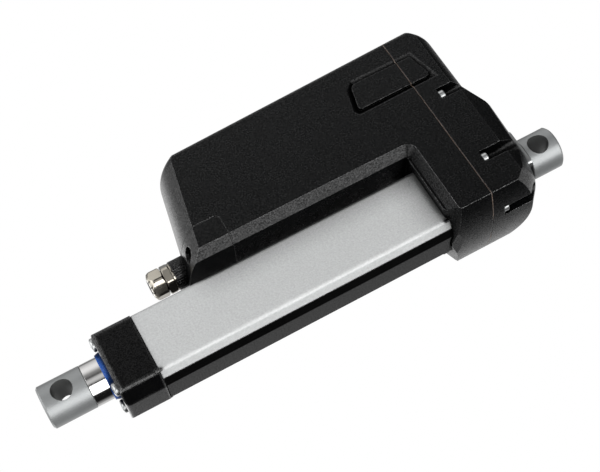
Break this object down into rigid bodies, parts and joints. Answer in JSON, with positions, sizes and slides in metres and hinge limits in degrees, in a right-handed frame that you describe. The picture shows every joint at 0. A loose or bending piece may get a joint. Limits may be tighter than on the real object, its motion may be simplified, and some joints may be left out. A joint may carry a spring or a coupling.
{
  "type": "linear actuator",
  "caption": "Electric linear actuator: a screw-driven push rod in a covered tube, with a parallel motor housing, cable gland and a cross-drilled pin adapter at each end.",
  "frame": {"origin": "centre of the rear adapter's pin bore", "axes": "+X along the push rod, away from the rod end (the rod extends toward -X); +Y along the pin bores; +Z from the rod axis toward the motor"},
  "size_m": [0.3242, 0.061, 0.1277],
  "materials": {
    "satin_steel": "satin turned steel",
    "chromed_rod": "polished hard chrome",
    "zinc_screw": "bright zinc plate",
    "black_cap": "satin black",
    "blue_wiper": "matt blue polyurethane",
    "tube_aluminium": "fine satin anodised",
    "black_strip": "semi-gloss black",
    "black_housing": "fine textured black powder coat",
    "brown_gasket": "matt brown",
    "nickel": "satin nickel plate",
    "black_rubber": "matt black",
    "ground_steel": "ground steel",
    "bearing_bronze": "sintered bronze",
    "motor_steel": "rolled zinc-coated steel",
    "magnet_ferrite": "sintered ferrite",
    "copper_winding": "enamelled copper",
    "board_green": "green solder mask",
    "pale_plastic": "natural acetal",
    "dark_plastic": "moulded black",
    "brush_plastic": "brown phenolic",
    "dark_steel": "blackened steel"
  },
  "bodies": {
    "housing": {"rear_adapter": "satin_steel", "front_cap": "black_cap", "front_cap_screws": "zinc_screw", "front_gasket": "black_rubber", "rod_wiper": "blue_wiper", "rod_seal": "black_rubber", "guide_bush": "bearing_bronze", "cover_tube": "tube_aluminium", "bottom_trim_strip": "black_strip", "tube_seal": "black_rubber", "tube_rear_screws": "zinc_screw", "motor_housing": "black_housing", "housing_gasket": "brown_gasket", "gearbox_cover": "black_housing", "gearbox_cover_screws": "zinc_screw", "cable_corner_cover": "dark_plastic", "corner_cover_screws": "zinc_screw", "gland_body": "nickel", "gland_nut": "nickel", "gland_seal": "black_rubber", "adapter_plate": "zinc_screw", "screw_bearings": "ground_steel", "bearing_retainer": "dark_steel", "idler_bushes": "bearing_bronze", "motor_can": "motor_steel", "motor_end_caps": "motor_steel", "motor_magnets": "magnet_ferrite", "brush_holder": "brush_plastic", "circuit_board": "board_green", "board_connector": "pale_plastic", "position_sensor": "dark_plastic"},
    "rod": {"front_adapter": "satin_steel", "extension_tube": "chromed_rod", "ball_nut": "ground_steel", "nut_guide_ring": "pale_plastic"},
    "screw": {"ball_screw": "ground_steel", "screw_gear": "dark_steel", "screw_lock_nut": "dark_steel", "screw_support_bush": "pale_plastic"},
    "idler": {"idler_shaft": "ground_steel", "idler_gear_large": "dark_steel", "idler_gear_small": "dark_steel"},
    "rotor": {"motor_shaft": "ground_steel", "motor_armature": "copper_winding", "motor_commutator": "copper_winding", "motor_pinion": "dark_steel"}
  },
  "joints": [
    {"name": "rod_slide", "type": "slide", "parent": "housing", "child": "rod", "axis": [-1, 0, 0], "range_m": [0, 0.15]},
    {"name": "screw_spin", "type": "hinge", "parent": "housing", "child": "screw", "pos_m": [-0.05, 0, 0], "axis": [1, 0, 0], "range_deg": [0, 10800]},
    {"name": "idler_spin", "type": "hinge", "parent": "housing", "child": "idler", "pos_m": [-0.04, 0, 0.03], "axis": [1, 0, 0], "range_deg": [-26229, 0]},
    {"name": "motor_spin", "type": "hinge", "parent": "housing", "child": "rotor", "pos_m": [-0.13, 0, 0.0575], "axis": [1, 0, 0], "range_deg": [0, 69942]}
  ],
  "couplings": [
    {"joint": "screw_spin", "follows": "motor_spin", "ratio": 0.15441},
    {"joint": "idler_spin", "follows": "motor_spin", "ratio": -0.375},
    {"joint": "rod_slide", "follows": "motor_spin", "m_per_rad": 0.00012288}
  ]
}
